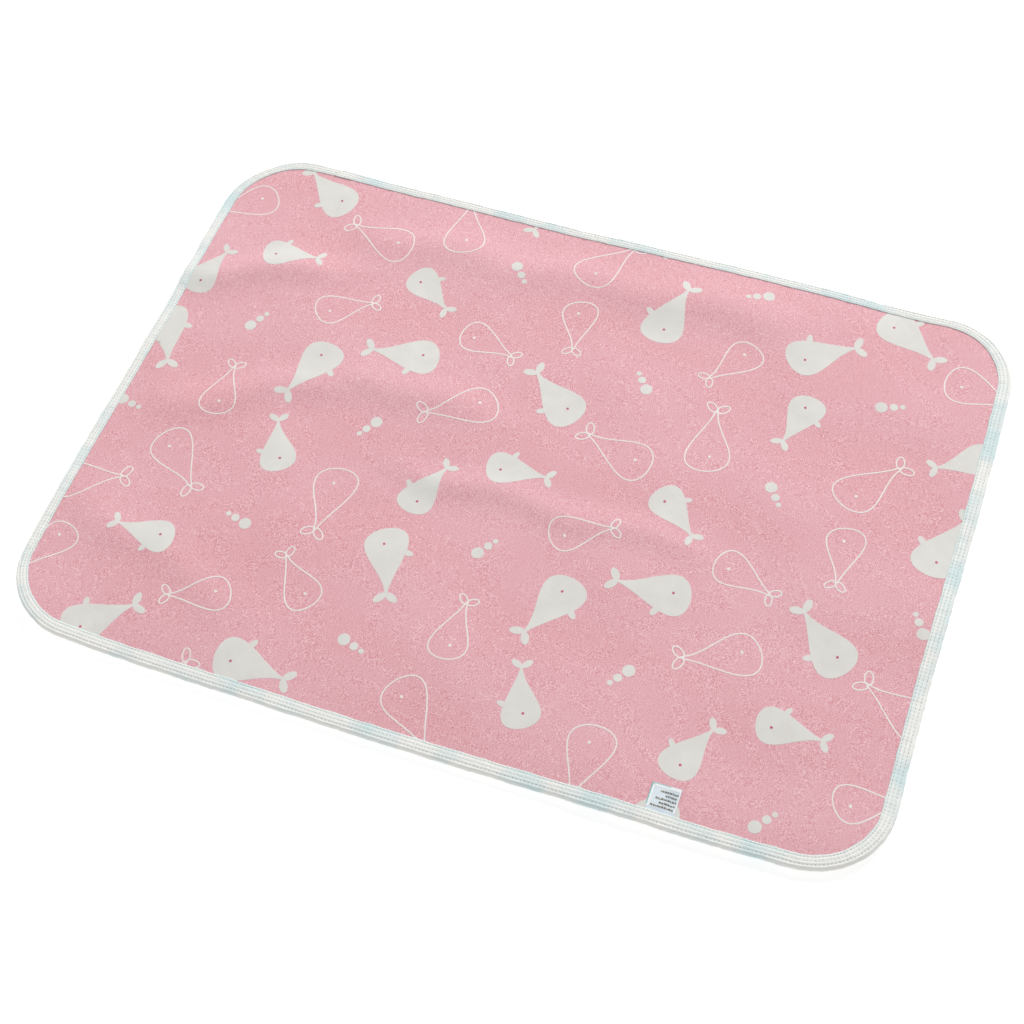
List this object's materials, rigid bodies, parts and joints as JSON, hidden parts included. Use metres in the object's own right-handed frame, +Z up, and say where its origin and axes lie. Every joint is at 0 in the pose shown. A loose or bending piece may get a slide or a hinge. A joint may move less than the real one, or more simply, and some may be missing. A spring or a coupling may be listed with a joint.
{
  "type": "changing pad",
  "caption": "Flat rectangular baby changing pad with rounded corners, printed cotton face, thin padded waterproof core, sewn edge binding and a small flip-up care label.",
  "frame": {"origin": "centre of the underside, on the surface the pad rests on", "axes": "+X along the pad's length towards the end nearer the care label, +Y across it away from the label's edge, +Z up out of the printed face"},
  "size_m": [0.7, 0.5, 0.0063],
  "materials": {
    "printed_cotton": "matt heathered cotton, printed in white",
    "wadding": "soft fibre wadding",
    "film": "thin translucent film",
    "backing_cotton": "plain matt cotton",
    "binding_tape": "soft white tape with a faint aqua tint",
    "thread": "polyester sewing thread",
    "label_satin": "satin ribbon with a soft sheen"
  },
  "bodies": {
    "pad": {"face_fabric": "printed_cotton", "absorbent_core": "wadding", "waterproof_film": "film", "backing_fabric": "backing_cotton", "edge_binding": "binding_tape", "inner_needle_thread": "thread", "middle_needle_thread": "thread", "outer_needle_thread": "thread", "looper_thread": "thread", "label_tail": "label_satin"},
    "label": {"care_label": "label_satin"}
  },
  "joints": [
    {"name": "label_flip", "type": "hinge", "parent": "pad", "child": "label", "pos_m": [0.1925, -0.239, 0.0061], "axis": [1, 0, 0], "range_deg": [0, 160]}
  ]
}
